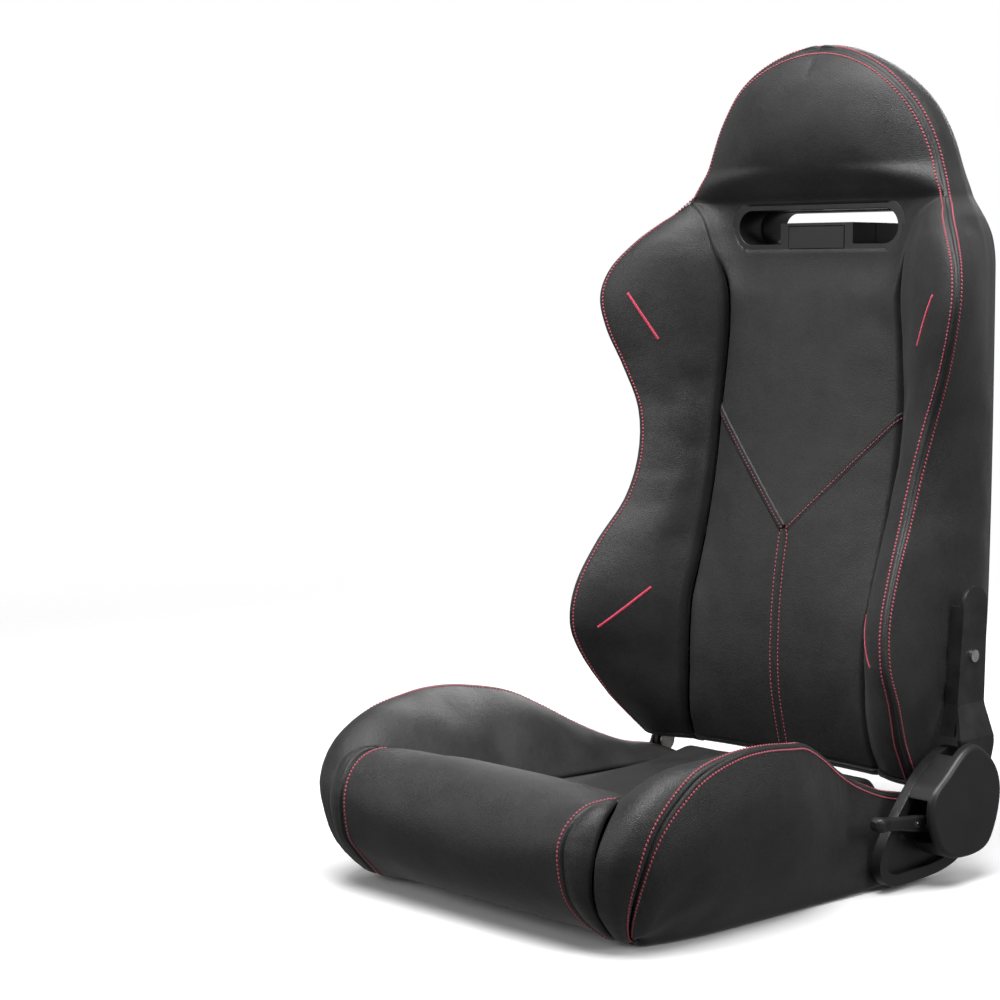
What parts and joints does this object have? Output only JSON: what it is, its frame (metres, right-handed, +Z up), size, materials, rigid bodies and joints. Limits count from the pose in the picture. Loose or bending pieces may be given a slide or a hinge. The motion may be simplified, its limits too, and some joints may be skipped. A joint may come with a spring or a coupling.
{
  "type": "racing seat",
  "caption": "Reclining racing seat with high side bolsters, integral headrest with a harness opening, and a lever recliner on one side.",
  "frame": {"origin": "centre of the four slider bolt holes, on the underside of the seat rails", "axes": "+X towards the recliner side (the sitter's left), +Y to the rear, +Z up"},
  "size_m": [0.558, 0.6866, 0.949],
  "materials": {
    "leather": "fine-grained black synthetic leather, satin",
    "frame_paint": "satin black paint",
    "arm_paint": "satin black powder coat",
    "spring_steel": "dull drawn wire",
    "gear_steel": "zinc plated",
    "bright_screws": "bright plated",
    "cover_plastic": "finely textured moulded black",
    "bezel_plastic": "satin-gloss moulded black"
  },
  "bodies": {
    "seat_base": {"seat_rail_left": "frame_paint", "seat_rail_right": "frame_paint", "seat_front_tube": "frame_paint", "seat_rear_tube": "frame_paint", "slider_weld_nuts": "gear_steel", "seat_springs": "spring_steel", "cushion_bolster_left": "leather", "cushion_bolster_right": "leather", "cushion_center_pad": "leather", "cushion_front_roll": "leather", "recliner_bracket_left": "frame_paint", "pivot_bracket_right": "frame_paint", "bracket_spacer": "frame_paint", "bracket_bolt": "gear_steel", "hinge_pin_left": "gear_steel", "hinge_pin_right": "gear_steel", "pawl_pin": "gear_steel", "lever_pin": "gear_steel", "recliner_inner_cover": "cover_plastic", "recliner_outer_cover": "cover_plastic", "cover_screws": "bright_screws", "lever_return_spring": "spring_steel"},
    "backrest": {"recliner_arm_left": "arm_paint", "arm_spacer": "frame_paint", "arm_bolt": "bright_screws", "sector_gear": "gear_steel", "sector_rivets": "gear_steel", "recliner_return_spring": "spring_steel", "back_frame_hoop": "frame_paint", "back_lower_tube": "frame_paint", "back_upper_tube": "frame_paint", "back_springs": "spring_steel", "pivot_arm_right": "frame_paint", "back_bolster_left": "leather", "back_bolster_right": "leather", "back_center_pad": "leather", "headrest_pad": "leather", "back_rear_panel": "leather", "harness_bezel_front": "bezel_plastic", "bezel_plate": "bezel_plastic", "harness_bezel_rear": "bezel_plastic", "bezel_screws": "bright_screws"},
    "lever": {"recliner_lever": "gear_steel", "lever_grip": "cover_plastic", "lever_screw": "bright_screws"},
    "pawl": {"locking_pawl": "gear_steel"}
  },
  "joints": [
    {"name": "backrest_recline", "type": "hinge", "parent": "seat_base", "child": "backrest", "pos_m": [0, 0.272, 0.092], "axis": [-1, 0, 0], "range_deg": [-12, 65]},
    {"name": "lever_lift", "type": "hinge", "parent": "seat_base", "child": "lever", "pos_m": [0, 0.213, 0.07], "axis": [-1, 0, 0], "range_deg": [0, 20], "stiffness_Nm_per_rad": 0.6, "springref_deg": -20.05},
    {"name": "pawl_release", "type": "hinge", "parent": "seat_base", "child": "pawl", "pos_m": [0, 0.25024, 0.04875], "axis": [1, 0, 0], "range_deg": [0, 8]}
  ],
  "couplings": [
    {"joint": "pawl_release", "follows": "lever_lift", "ratio": 0.4}
  ]
}
